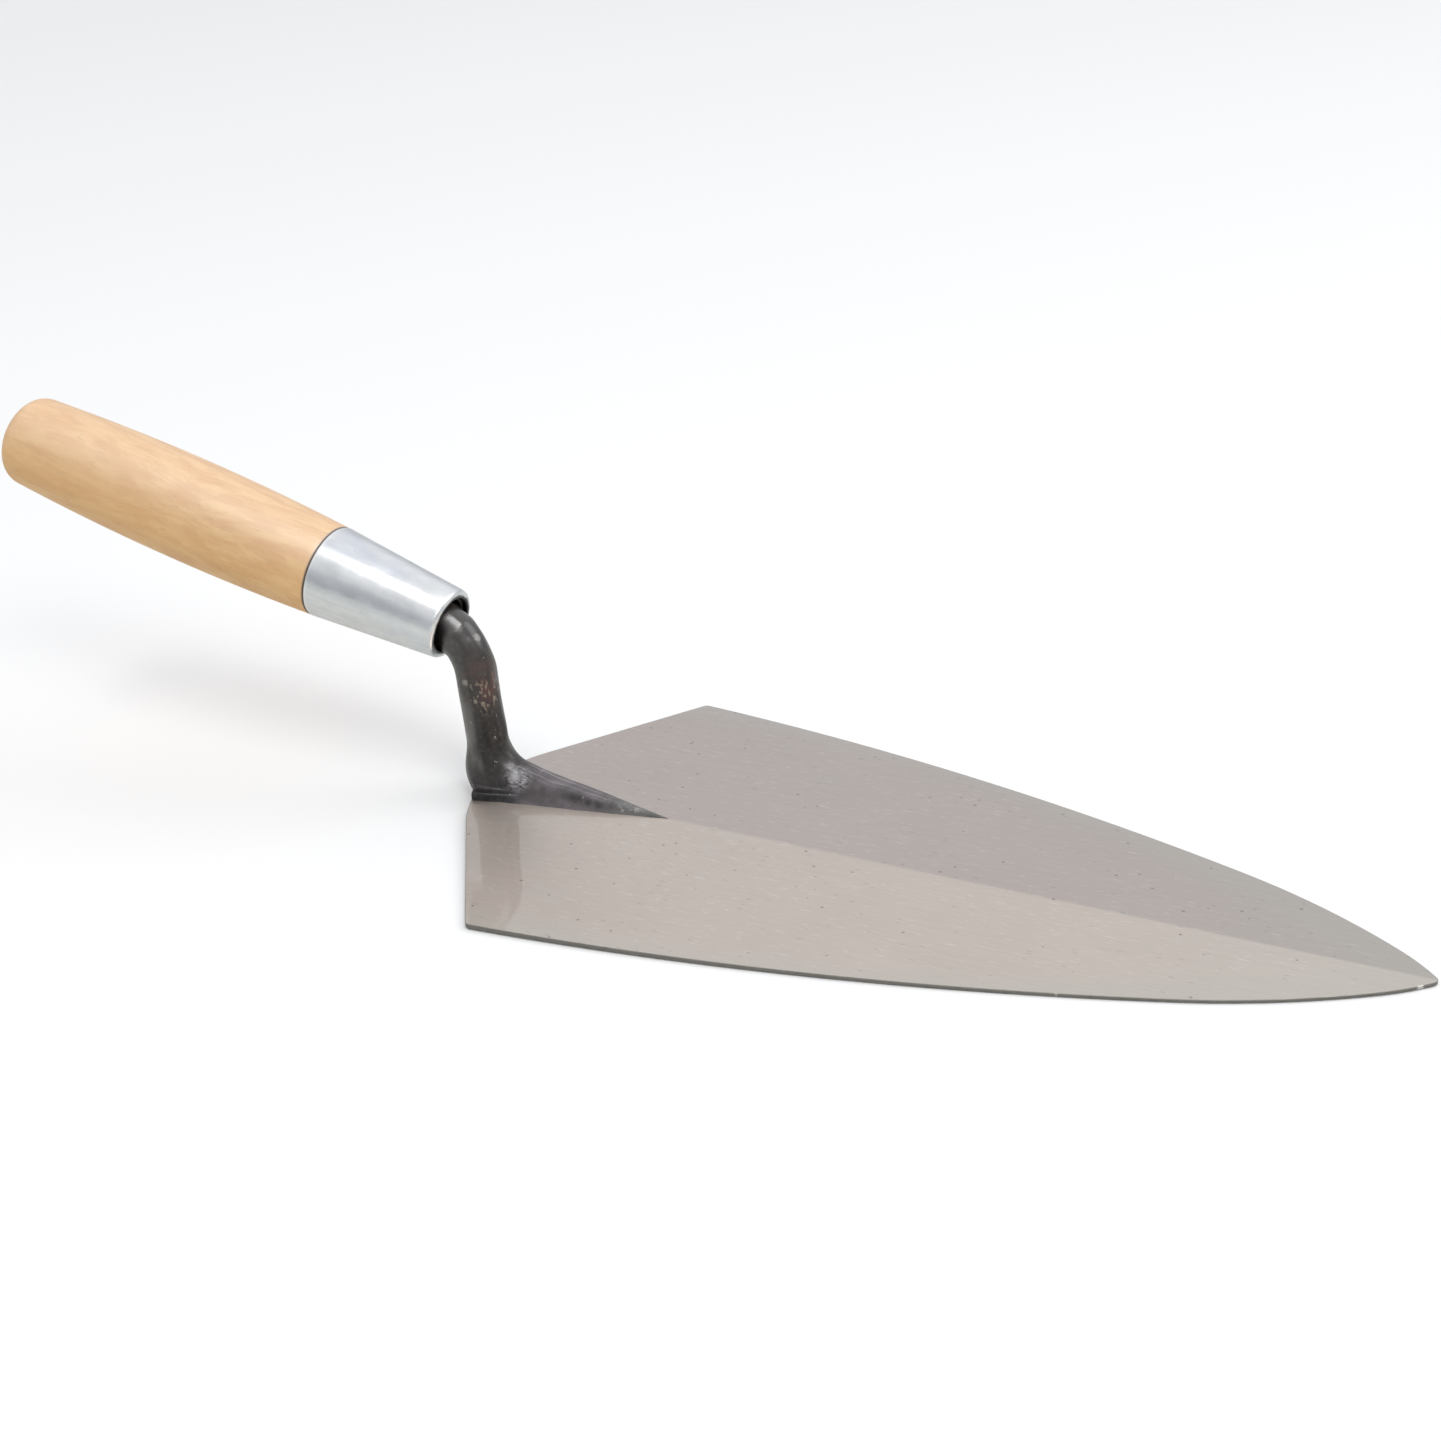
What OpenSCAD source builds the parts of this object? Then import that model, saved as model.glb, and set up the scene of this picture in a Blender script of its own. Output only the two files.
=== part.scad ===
// Brick trowel with a swept-heel blade, a gooseneck shank and a turned wooden handle.
// Frame: +X from heel to tip, +Y to the left, +Z up. The origin is the middle of the blade's flat underside.
// Three real pieces: the steel forging (blade, root, shank and hidden tang), the ferrule and the handle.

/* [Blade] */
// Length of the blade from the middle of the heel to the tip, mm
blade_length = 279.4; // [250:0.1:300]
// Width of the blade across the two heel corners, mm
blade_width = 139.7; // [110:0.1:160]
// Sweep of each heel edge forward from straight across, degrees
heel_sweep = 32.6; // [15:0.1:40]
// Radius that rounds the middle of the heel, mm
heel_round = 40.5; // [20:0.5:60]
// Radius on each heel corner, mm
corner_round = 2; // [1:0.1:6]
// Radius on the tip, mm
tip_round = 2; // [1:0.1:6]
// Radius of each side edge just behind the tip, mm
fore_radius = 67.3; // [50:0.1:90]
// Radius of the middle stretch of each side edge, mm
mid_radius = 202.3; // [150:0.1:260]
// Direction square to the side edge where the tip rounding starts, degrees from +X
tip_turn = 45; // [40:0.1:50]
// Direction square to the side edge where the fore radius ends, degrees from +X
fore_turn = 57.1; // [52:0.1:62]
// Direction square to the side edge where the middle radius ends, degrees from +X
mid_turn = 71.7; // [68:0.1:76]
// Blade thickness on the centre line at the heel, mm
heel_thickness = 2.6; // [2:0.1:4]
// Blade thickness on the centre line at the tip, mm
tip_thickness = 1.1; // [0.8:0.1:2]
// Fall of each ground top face from the centre line to the edge, degrees
facet_fall = 0.72; // [0.3:0.01:1]

/* [Root and shank] */
// Length of the root's foot along the blade, mm
foot_length = 61; // [50:0.5:70]
// Half-width of the root's foot at the heel, mm
foot_half_width = 12; // [9:0.1:15]
// Height of the foot's flat ledge above the underside, mm
foot_top = 5.2; // [4:0.1:7]
// Distance from the heel to the middle of the shank on the underside, mm
shank_setback = 2.6; // [1:0.1:6]
// Shank diameter, mm
shank_diameter = 12.2; // [10:0.1:15]
// Backward lean of the straight part of the shank, degrees
shank_lean = 3.1; // [0:0.1:8]
// Radius of the gooseneck bend on the shank's centre line, mm
bend_radius = 17; // [12:0.5:25]

/* [Handle] */
// Rise of the handle's axis toward the butt, degrees
handle_tilt = 14.7; // [5:0.1:20]
// Height at which the handle's axis crosses the shank's axis, mm
handle_lift = 51.3; // [40:0.1:65]
// Distance from that crossing back to the ferrule's mouth, mm
mouth_setback = 6.2; // [3:0.1:12]
// Length from the ferrule's mouth to the butt, mm
grip_length = 157.8; // [130:0.1:170]
// Radius of the handle at its thickest, mm
grip_radius = 15.7; // [13:0.1:18]
// Distance from the ferrule's mouth to the thickest place, mm
grip_swell_at = 98.7; // [80:0.1:120]
// Lengthwise radius of the handle's barrel shape, mm
barrel_radius = 918; // [600:1:1400]
// Radius on the edge of the butt, mm
butt_round = 5; // [2:0.1:9]
// Length of the tang inside the handle, mm
tang_length = 95; // [60:1:120]
// Diameter at the end of the tang, mm
tang_tip_diameter = 7; // [4:0.1:9]

/* [Ferrule] */
// Length of the ferrule, mm
ferrule_length = 42.8; // [30:0.1:50]
// Outside radius of the ferrule's mouth, mm
mouth_radius = 10.7; // [9:0.1:13]
// Radius of the hole in the ferrule's mouth, mm
mouth_hole_radius = 8.2; // [7:0.1:10]
// Outside radius of the ferrule's wide end, mm
ferrule_radius = 14; // [12:0.1:17]
// Ferrule wall thickness, mm
ferrule_wall = 1.2; // [0.8:0.1:2]
// Radius on the rim of the mouth, mm
rim_round = 1.6; // [0.5:0.1:2]

/* [Hidden] */
$fn = 96;
large_fn = 720;

// Blade outline, half by half: tip round, fore arc, middle arc, rear arc, each tangent to the next.
tip_x = blade_length / 2;
heel_x = -blade_length / 2;
tip_centre = [tip_x - tip_round, 0];
fore_centre = tip_centre - (fore_radius - tip_round) * [cos(tip_turn), sin(tip_turn)];
mid_centre = fore_centre - (mid_radius - fore_radius) * [cos(fore_turn), sin(fore_turn)];
mid_end = mid_centre + mid_radius * [cos(mid_turn), sin(mid_turn)];
fore_end = fore_centre + fore_radius * [cos(fore_turn), sin(fore_turn)];
tip_end = tip_centre + tip_round * [cos(tip_turn), sin(tip_turn)];

// A curved piece that runs on from another starts this much inside it, so that the two meet cleanly.
inset = 0.005;
// Cutting shapes run this far past what they cut.
past = 1;
// Half-size of the blocks and half-planes that cut the blade and the root.
far = 400;

// Where one arc hands over to the next, to a hundredth, so that the strips meet exactly.
function hundredth(v) = round(100 * v) / 100;
mid_stop = hundredth(mid_end[0]);
fore_stop = hundredth(fore_end[0]);
tip_stop = hundredth(tip_end[0]);

// Heel: two straight edges tangent to the middle round.
heel_centre_x = heel_x + heel_round;
heel_apex_x = heel_centre_x - heel_round / cos(heel_sweep);
heel_tangent = [heel_centre_x - heel_round * cos(heel_sweep), heel_round * sin(heel_sweep)];
heel_run = [sin(heel_sweep), cos(heel_sweep)];
corner = [heel_apex_x + blade_width / 2 * tan(heel_sweep), blade_width / 2];

// The rear arc leaves the middle arc's end and passes through the heel corner.
mid_normal = [cos(mid_turn), sin(mid_turn)];
corner_from_mid = corner - mid_end;
rear_radius = -(corner_from_mid * corner_from_mid) / (2 * (corner_from_mid * mid_normal));
rear_centre = mid_end - rear_radius * mid_normal;

// Centre of the corner rounding: one radius inside both the heel edge and the rear arc.
round_base = heel_tangent + corner_round * [cos(heel_sweep), -sin(heel_sweep)];
base_from_rear = round_base - rear_centre;
along_base = base_from_rear * heel_run;
round_run = -along_base + sqrt(along_base * along_base - base_from_rear * base_from_rear
    + pow(rear_radius - corner_round, 2));
round_centre = round_base + round_run * heel_run;
round_foot = round_centre - corner_round * [cos(heel_sweep), -sin(heel_sweep)];
round_side = rear_centre + rear_radius * (round_centre - rear_centre) / norm(round_centre - rear_centre);
// Point beyond the corner that the cut in front of the rounding reaches.
round_cut = corner + 3 * corner_round / 2 * [-0.5, 1];

ridge_fall = atan((heel_thickness - tip_thickness) / blade_length);
ridge_mid = (heel_thickness + tip_thickness) / 2;

// Shank and handle axes, both in the XZ plane.
shank_radius = shank_diameter / 2;
shank_x = heel_x + shank_setback;
crossing = [shank_x - handle_lift * tan(shank_lean), handle_lift];
handle_run = [-cos(handle_tilt), sin(handle_tilt)];
bend_angle = 90 - handle_tilt - shank_lean;
bend_reach = bend_radius * tan(bend_angle / 2);
bend_start = crossing - bend_reach * [-sin(shank_lean), cos(shank_lean)];
bend_centre = bend_start - bend_radius * [cos(shank_lean), sin(shank_lean)];
mouth = crossing + mouth_setback * handle_run;
tang_from_mouth = bend_reach - mouth_setback;
tang_tip_radius = tang_tip_diameter / 2;
shoulder = 0.03;
bend_overlap = 2.5;
tang_overlap = 0.7;

// Root: rounded cones on the blade's centre line, each end given as [x, z] and a radius.
root_tip_x = heel_x + foot_length;
boss = [shank_x - 0.3, 4.5];
boss_radius = 7;
spine_end = [root_tip_x - 1.5, 2.1];
spine_end_radius = 0.5;
gusset_top = [shank_x - 0.5, 9];
gusset_top_radius = 6.5;
gusset_end = [heel_x + 20.5, 5.1];
gusset_end_radius = 3.6;
heel_undercut_from = 1.8;
root_bottom = 0.5;
foot_axis = 2;

// Inside of the handle and ferrule.
lip_depth = 1.6;
snug = 0.03;
tang_end_gap = 0.5;
bore_run_out = 0.01;
tenon_radius = ferrule_radius - ferrule_wall;
tenon_front_radius = mouth_radius - ferrule_wall;
bore_mouth_radius = 7.4;
bore_mouth_depth = 5.5;
butt_radius = grip_radius - pow(grip_length - butt_round - grip_swell_at, 2) / (2 * barrel_radius);

// Bounded by one arc on each side of the centre line.
module between_arcs(centre, radius) {
    intersection() {
        translate([centre[0], centre[1]]) circle(r = radius, $fn = large_fn);
        translate([centre[0], -centre[1]]) circle(r = radius, $fn = large_fn);
    }
}

// A strip across the blade from x = from to x = to.
module strip(from, to) {
    translate([from, -far / 2]) square([to - from, far]);
}

module side_shape() {
    intersection() {
        between_arcs(rear_centre, rear_radius);
        strip(floor(heel_x) - past, mid_stop);
    }
    intersection() {
        between_arcs(mid_centre, mid_radius - inset);
        strip(mid_stop, fore_stop);
    }
    intersection() {
        between_arcs(fore_centre, fore_radius - 2 * inset);
        strip(fore_stop, tip_stop);
    }
    intersection() {
        translate(tip_centre) circle(r = tip_round - 3 * inset);
        strip(tip_stop, ceil(tip_x) + past);
    }
}

module heel_shape() {
    reach = blade_width;
    translate([heel_centre_x, 0]) circle(r = heel_round, $fn = large_fn);
    polygon([
        heel_tangent,
        heel_tangent + reach * heel_run,
        [tip_x + past, reach],
        [tip_x + past, -reach],
        [(heel_tangent + reach * heel_run)[0], -(heel_tangent + reach * heel_run)[1]],
        [heel_tangent[0], -heel_tangent[1]]
    ]);
}

module corner_cut(side) {
    polygon([
        [round_foot[0], side * round_foot[1]],
        [round_cut[0], side * round_cut[1]],
        [round_side[0], side * round_side[1]],
        [round_centre[0], side * round_centre[1]]
    ]);
}

module blade_outline() {
    difference() {
        intersection() {
            side_shape();
            heel_shape();
        }
        corner_cut(1);
        corner_cut(-1);
    }
    for (side = [-1, 1])
        translate([round_centre[0], side * round_centre[1]]) circle(r = corner_round);
}

// Everything under one ground top face: side 1 is +Y, -1 is -Y.
module under_facet(side) {
    translate([0, 0, ridge_mid])
        rotate([0, ridge_fall, 0])
            rotate([-side * facet_fall, 0, 0])
                translate([-far / 2, -far / 2, -far])
                    cube([far, far, far]);
}

module blade_plate() {
    intersection() {
        linear_extrude(height = heel_thickness + past) blade_outline();
        under_facet(1);
        under_facet(-1);
    }
}

// Low tapered foot with steep sides and a flat ledge, flush with the heel.
module foot() {
    intersection() {
        linear_extrude(height = foot_top) blade_outline();
        translate([heel_x, 0, foot_axis])
            rotate([0, 90, 0])
                cylinder(h = foot_length, r1 = foot_half_width, r2 = 0);
    }
}

// Cone between two balls, tangent to both, in the XZ plane.
module rounded_cone(from, from_radius, to, to_radius) {
    span = norm(to - from);
    lean = asin((from_radius - to_radius) / span);
    translate([from[0], 0, from[1]])
        rotate([0, atan2(to[0] - from[0], to[1] - from[1]), 0])
            rotate_extrude()
                intersection() {
                    translate([0, -2 * from_radius]) square([2 * from_radius, span + 4 * from_radius]);
                    union() {
                        circle(r = from_radius);
                        translate([0, span]) circle(r = to_radius);
                        polygon([
                            [0, from_radius * sin(lean)],
                            [from_radius * cos(lean) - inset, from_radius * sin(lean)],
                            [to_radius * cos(lean) - inset, span + to_radius * sin(lean)],
                            [0, span + to_radius * sin(lean)]
                        ]);
                    }
                }
}

// Boss, spine and gusset above the foot, undercut behind the heel.
module root() {
    difference() {
        union() {
            rounded_cone(boss, boss_radius, spine_end, spine_end_radius);
            rounded_cone(gusset_top, gusset_top_radius, gusset_end, gusset_end_radius);
            translate([shank_x, 0, 0])
                rotate([0, -shank_lean, 0])
                    cylinder(h = bend_start[1] / cos(shank_lean), r = shank_radius);
        }
        translate([-far / 2, -far / 2, root_bottom - far]) cube([far, far, far]);
        translate([heel_x, 0, heel_undercut_from])
            rotate([0, 45, 0])
                translate([-far / 2, -far / 2, -far])
                    cube([far, far, far]);
    }
}

module bend() {
    translate([bend_centre[0], 0, bend_centre[1]])
        rotate([90, 0, 0])
            rotate([0, 0, shank_lean - bend_overlap])
                rotate_extrude(angle = bend_angle + bend_overlap)
                    translate([bend_radius, 0]) circle(r = shank_radius - shoulder);
}

// Local +Z runs along the handle's axis from the ferrule's mouth to the butt.
module on_handle_axis() {
    translate([mouth[0], 0, mouth[1]])
        rotate([0, handle_tilt - 90, 0])
            children();
}

module tang() {
    on_handle_axis()
        translate([0, 0, tang_from_mouth - tang_overlap])
            cylinder(h = tang_length + tang_overlap, r1 = shank_radius - 2 * shoulder, r2 = tang_tip_radius);
}

module forging() {
    color([0.62, 0.60, 0.58])
        union() {
            blade_plate();
            foot();
            root();
            bend();
            tang();
        }
}

module ferrule() {
    color([0.86, 0.87, 0.89])
        on_handle_axis()
            rotate_extrude() {
                difference() {
                    polygon([
                        [0, rim_round],
                        [mouth_radius, rim_round],
                        [ferrule_radius, ferrule_length],
                        [0, ferrule_length]
                    ]);
                    polygon([
                        [-past, lip_depth],
                        [tenon_front_radius, lip_depth],
                        [tenon_radius, ferrule_length + bore_run_out],
                        [-past, ferrule_length + bore_run_out]
                    ]);
                    translate([-past, -past]) square([mouth_hole_radius + past, rim_round + 2 * past]);
                }
                translate([mouth_hole_radius, 0])
                    square([mouth_radius - rim_round - mouth_hole_radius, rim_round]);
                intersection() {
                    translate([mouth_radius - rim_round, rim_round]) circle(r = rim_round);
                    translate([mouth_radius - rim_round, 0]) square([rim_round, rim_round]);
                }
            }
}

// Half section of the wooden handle, barrel plus tenon.
module handle_section() {
    intersection() {
        translate([grip_radius - barrel_radius, grip_swell_at])
            circle(r = barrel_radius, $fn = 1440);
        translate([0, ferrule_length]) square([far, grip_length - butt_round - ferrule_length]);
    }
    translate([0, grip_length - butt_round]) square([butt_radius - butt_round, butt_round]);
    intersection() {
        translate([butt_radius - butt_round, grip_length - butt_round]) circle(r = butt_round);
        translate([butt_radius - butt_round, grip_length - butt_round]) square(butt_round);
    }
    polygon([
        [0, lip_depth + snug],
        [tenon_front_radius - snug, lip_depth + snug],
        [tenon_radius - snug, ferrule_length],
        [0, ferrule_length]
    ]);
}

module handle() {
    color([0.85, 0.70, 0.52])
        on_handle_axis()
            difference() {
                rotate_extrude() handle_section();
                translate([0, 0, -past]) cylinder(h = bore_mouth_depth + 2 * past, r = bore_mouth_radius);
                translate([0, 0, tang_from_mouth])
                    cylinder(h = tang_length + tang_end_gap, r1 = shank_radius + snug, r2 = tang_tip_radius + snug);
            }
}

forging();
ferrule();
handle();
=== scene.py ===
"""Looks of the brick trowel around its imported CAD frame: finer meshes, materials, light and camera.

Frame: +X from heel to tip, +Y to the left, +Z up, origin in the middle of the blade's flat underside.
Shapes are worked out in millimetres and scaled to metres once, when their vertices are made. Materials take
their places in millimetres too. Colours are linear.
"""

import math

import bmesh
import bpy
import numpy as np
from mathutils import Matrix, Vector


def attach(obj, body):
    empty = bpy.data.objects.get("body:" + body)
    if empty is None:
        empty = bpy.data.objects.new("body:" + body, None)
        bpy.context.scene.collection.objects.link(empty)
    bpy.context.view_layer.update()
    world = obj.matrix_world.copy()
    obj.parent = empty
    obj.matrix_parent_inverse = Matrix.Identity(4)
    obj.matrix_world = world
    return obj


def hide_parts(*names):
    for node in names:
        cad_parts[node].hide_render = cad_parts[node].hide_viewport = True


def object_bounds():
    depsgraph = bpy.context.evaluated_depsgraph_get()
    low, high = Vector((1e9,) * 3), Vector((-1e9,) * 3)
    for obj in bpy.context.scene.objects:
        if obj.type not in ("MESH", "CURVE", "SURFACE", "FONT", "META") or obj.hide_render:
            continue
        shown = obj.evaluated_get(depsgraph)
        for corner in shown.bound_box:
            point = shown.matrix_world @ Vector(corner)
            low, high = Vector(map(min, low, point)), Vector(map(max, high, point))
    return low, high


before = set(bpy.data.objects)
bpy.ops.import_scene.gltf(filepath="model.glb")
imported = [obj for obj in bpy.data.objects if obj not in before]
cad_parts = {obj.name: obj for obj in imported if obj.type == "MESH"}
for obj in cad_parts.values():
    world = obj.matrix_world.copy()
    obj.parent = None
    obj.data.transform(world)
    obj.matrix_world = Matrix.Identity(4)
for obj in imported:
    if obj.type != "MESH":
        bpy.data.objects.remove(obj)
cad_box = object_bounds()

import openvdb
from mathutils import Matrix, Vector

MM = 0.001
NEARLY_ZERO = 1e-6
SHARP_ANGLE = 30.0
GROUND, CUT_EDGE, FORGED = range(3)

# ---------------------------------------------------------------- sizes, millimetres and degrees


def cad_points(node):
    """Vertices of a CAD node at rest, in millimetres."""
    return np.array([v.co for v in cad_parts[node].data.vertices]) / MM


forging_points = cad_points("forging")
SOLE_HEIGHT = 0.01
sole = forging_points[forging_points[:, 2] < SOLE_HEIGHT]
HEEL_X = sole[:, 0].min()
TIP_X = sole[:, 0].max()

# Blade outline: a rounded heel, swept heel edges, small corners, then three arcs a side, each tangent to the
# next.
BLADE_WIDTH = 139.7
HEEL_SWEEP = 32.6
HEEL_ROUND = 40.5
CORNER_ROUND = 2.0
TIP_ROUND = 2.0
FORE_RADIUS = 67.3
MID_RADIUS = 202.3
TIP_TURN = 45.0
FORE_TURN = 57.1
MID_TURN = 71.7
HEEL_THICKNESS = 2.6
TIP_THICKNESS = 1.1
FACET_FALL = 0.72
RIDGE_ROUND = 0.5
EDGE_ROUND = 0.15
ROW_POINTS = 25
ROW_CROWDING = 2.2

# Shank, bend and tang, on the blade's centre line. Places are [x, z].
SHANK_X = HEEL_X + 2.6
SHANK_RADIUS = 6.1
SHANK_LEAN = 3.1
BEND_RADIUS = 17.0
HANDLE_TILT = 14.7
HANDLE_LIFT = 51.3
TANG_TIP_RADIUS = 3.5
TANG_LENGTH = 95.0
TANG_OVERLAP = 4.0
TANG_INSET = 0.5
TANG_SEGMENTS = 48

crossing = np.array([SHANK_X - HANDLE_LIFT * math.tan(math.radians(SHANK_LEAN)), HANDLE_LIFT])
shank_run = np.array([-math.sin(math.radians(SHANK_LEAN)), math.cos(math.radians(SHANK_LEAN))])
handle_run = np.array([-math.cos(math.radians(HANDLE_TILT)), math.sin(math.radians(HANDLE_TILT))])
down_across_handle = np.array([-handle_run[1], handle_run[0]])
bend_angle = 90 - HANDLE_TILT - SHANK_LEAN
bend_reach = BEND_RADIUS * math.tan(math.radians(bend_angle / 2))
bend_start = crossing - bend_reach * shank_run
bend_end = crossing + bend_reach * handle_run
bend_centre = bend_start - BEND_RADIUS * np.array([shank_run[1], -shank_run[0]])

# Handle and ferrule lengths run from the ferrule's mouth along the handle's axis, measured on the CAD nodes.
ferrule_run = cad_points("ferrule")[:, [0, 2]] @ handle_run
handle_stop = (cad_points("handle")[:, [0, 2]] @ handle_run).max()
MOUTH_SETBACK = ferrule_run.min() - crossing @ handle_run
FERRULE_LENGTH = ferrule_run.max() - ferrule_run.min()
GRIP_LENGTH = handle_stop - ferrule_run.min()
mouth = crossing + MOUTH_SETBACK * handle_run
tang_start = (bend_end - mouth) @ handle_run
GRIP_RADIUS = 15.7
GRIP_SWELL_AT = 98.7
BARREL_RADIUS = 918.0
BUTT_ROUND = 5.0
SHOULDER_ROUND = 0.5
MOUTH_RADIUS = 10.7
MOUTH_HOLE_RADIUS = 8.2
MOUTH_HOLE_ROUND = 0.5
FERRULE_RADIUS = 14.0
FERRULE_WALL = 1.2
WIDE_EDGE_ROUND = 0.8
RIM_ROUND = 1.6
LIP_DEPTH = 1.6
COLLAR_BORE_RADIUS = 7.4
COLLAR_BORE_DEPTH = 5.5
BORE_SPARE = 0.5
SNUG = 0.03
TURNED_SEGMENTS = 192

# Root: a foot with a ledge, and a crest that falls to the root's tip. Spread, rise and growth are slopes.
# A span runs from one distance to another.
ROOT_TIP_X = HEEL_X + 62.5
FOOT_HEIGHT = 2.25
FOOT_SPREAD = 0.183
FOOT_FLARE = 1.3
FLARE_FADE = 6.0
FOOT_DRAFT = 48.0
FOOT_INSET = 0.05
FOOT_ROUND = 0.4
DRAFT_SPAN = (5.0, 19.0)
CREST_RISE = 0.145
CREST_BULGE = 0.04
LEDGE_SHARE = 0.32
LEDGE_ROUND = 0.8
CREST_SHARE = 0.19
THINNEST = 0.01
BACK_DROP = 5.5
BACK_INSET = 3.0
BACK_ROUND = 1.5
BACK_SPAN = (-4.0, 20.0)
FILLET_GROWTH = 0.12
LARGEST_FILLET = 3.0
SMALLEST_FILLET = 0.05
GUSSET_FILLET = 2.5
SHANK_FILLET = 5.0
COLLAR_FILLET = 1.0
UNDERCUT = 1.8
UNDERCUT_ROUND = 0.6
SEAT_HEIGHT = 0.8
FORGE_MARK = 0.07
HAMMERED_TIP_SPAN = (4.0, 30.0)
SMOOTH_COLLAR = 4.0

# Balls on the centre line as [x, z, radius]. The forging's round bars are swept between pairs of them.
BOSS = [SHANK_X - 0.3, 4.5, 7.0]
SPINE_TIP = [ROOT_TIP_X, 1.6, 0.3]
GUSSET_TOP = [SHANK_X - 0.5, 9.0, 6.5]
GUSSET_FOOT = [HEEL_X + 18.5, 4.9, 3.6]
SHANK_FOOT = [SHANK_X, 4.0, SHANK_RADIUS]
SHANK_TOP = [*bend_start, SHANK_RADIUS]
TANG_ROOT = [*bend_end, SHANK_RADIUS]
TANG_NECK = [*(bend_end + 12.0 * handle_run), SHANK_RADIUS - 0.3]
COLLAR_FRONT = [*(mouth - 1.5 * handle_run + 2.1 * down_across_handle), 6.5]
COLLAR_BACK = [*(mouth + 3.0 * handle_run + 0.4 * down_across_handle), 5.9]

# The forged surface is found on a grid of points with this spacing, which has this room around the steel.
GRID_STEP = 0.3
BACK_ROOM = 16.0
SIDE_ROOM = 14.0
TIP_ROOM = 0.5
TOP_ROOM = 11.0
FAR_AWAY = 100.0
SLOPE_REACH = 0.02
FLATTEST_SLOPE = 0.2
PULLS = 3

# ---------------------------------------------------------------- meshes


def add_face(bm, corners, material=0):
    """A face through corners without repeats, so that a row that has shrunk to a point makes triangles."""
    unique = list(dict.fromkeys(corners))
    if len(unique) > 2:
        face = bm.faces.new(unique)
        face.material_index = material


def smooth(mesh):
    """Smooth shading, with edges sharp above SHARP_ANGLE."""
    mesh.shade_smooth()
    mesh.set_sharp_from_angle(angle=math.radians(SHARP_ANGLE))


def finished_object(name, bm, materials):
    """Turns a bmesh into a smooth-shaded object."""
    bmesh.ops.recalc_face_normals(bm, faces=bm.faces)
    mesh = bpy.data.meshes.new(name)
    bm.to_mesh(mesh)
    bm.free()
    for material in materials:
        mesh.materials.append(material)
    smooth(mesh)
    piece = bpy.data.objects.new(name, mesh)
    bpy.context.scene.collection.objects.link(piece)
    return piece


def lathe(name, profile, segments, materials, material=0):
    """A closed body turned about local Z. The profile holds [along, radius] rows. It starts and ends on the
    axis, or else closes on itself."""
    bm = bmesh.new()
    turns = np.linspace(0, 2 * math.pi, segments, endpoint=False)
    rings = []
    for along, radius in profile:
        if radius < NEARLY_ZERO:
            rings.append([bm.verts.new((0, 0, along * MM))] * segments)
            continue
        rings.append([
            bm.verts.new((radius * math.cos(t) * MM, radius * math.sin(t) * MM, along * MM)) for t in turns
        ])
    if profile[0][1] > NEARLY_ZERO:
        rings.append(rings[0])
    for lower, upper in zip(rings, rings[1:]):
        for i in range(segments):
            j = (i + 1) % segments
            add_face(bm, [lower[i], lower[j], upper[j], upper[i]], material)
    return finished_object(name, bm, materials)


def arc(centre, radius, start, end, steps):
    """Points on an arc with their outward normals, as [x, y, normal x, normal y] rows. Angles in degrees."""
    turn = np.radians(np.linspace(start, end, steps + 1))
    normal = np.column_stack([np.cos(turn), np.sin(turn)])
    return np.hstack([np.asarray(centre) + radius * normal, normal])


def direction(degrees):
    """The unit vector at an angle from +X."""
    return np.array([math.cos(math.radians(degrees)), math.sin(math.radians(degrees))])


def half_outline():
    """The blade's outline on the +Y side, from heel to tip, as [x, y, normal x, normal y] rows."""
    tip_centre = np.array([TIP_X - TIP_ROUND, 0])
    fore_centre = tip_centre - (FORE_RADIUS - TIP_ROUND) * direction(TIP_TURN)
    mid_centre = fore_centre - (MID_RADIUS - FORE_RADIUS) * direction(FORE_TURN)
    mid_end = mid_centre + MID_RADIUS * direction(MID_TURN)

    heel_normal = direction(180 - HEEL_SWEEP)
    heel_edge = direction(90 - HEEL_SWEEP)
    heel_centre = np.array([HEEL_X + HEEL_ROUND, 0])
    heel_start = heel_centre + HEEL_ROUND * heel_normal
    corner = heel_start + (BLADE_WIDTH / 2 - heel_start[1]) / heel_edge[1] * heel_edge

    chord = corner - mid_end
    rear_radius = -(chord @ chord) / (2 * chord @ direction(MID_TURN))
    rear_centre = mid_end - rear_radius * direction(MID_TURN)

    round_base = heel_start - CORNER_ROUND * heel_normal
    to_base = round_base - rear_centre
    along = to_base @ heel_edge
    reach = -along + math.sqrt(along**2 - to_base @ to_base + (rear_radius - CORNER_ROUND) ** 2)
    round_centre = round_base + reach * heel_edge
    round_stop = math.degrees(math.atan2(*(round_centre - rear_centre)[::-1]))

    heel = arc(heel_centre, HEEL_ROUND, 180, 180 - HEEL_SWEEP, steps=24)
    round_off = arc(round_centre, CORNER_ROUND, 180 - HEEL_SWEEP, round_stop, steps=10)
    share = np.linspace(0, 1, num=24)[1:-1, None]
    straight = heel[-1] + share * (round_off[0] - heel[-1])
    rear = arc(rear_centre, rear_radius, round_stop, MID_TURN, steps=72)
    middle = arc(mid_centre, MID_RADIUS, MID_TURN, FORE_TURN, steps=48)
    fore = arc(fore_centre, FORE_RADIUS, FORE_TURN, TIP_TURN, steps=24)
    tip = arc(tip_centre, TIP_ROUND, TIP_TURN, 0, steps=8)
    return np.vstack([heel, straight, round_off, rear[1:], middle[1:], fore[1:], tip[1:]])


def top_height(x, y):
    """Height of the ground top faces, which meet in a soft ridge on the centre line."""
    ridge = np.interp(x, [HEEL_X, TIP_X], [HEEL_THICKNESS, TIP_THICKNESS])
    return ridge - math.tan(math.radians(FACET_FALL)) * (np.hypot(y, RIDGE_ROUND) - RIDGE_ROUND)


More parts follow.
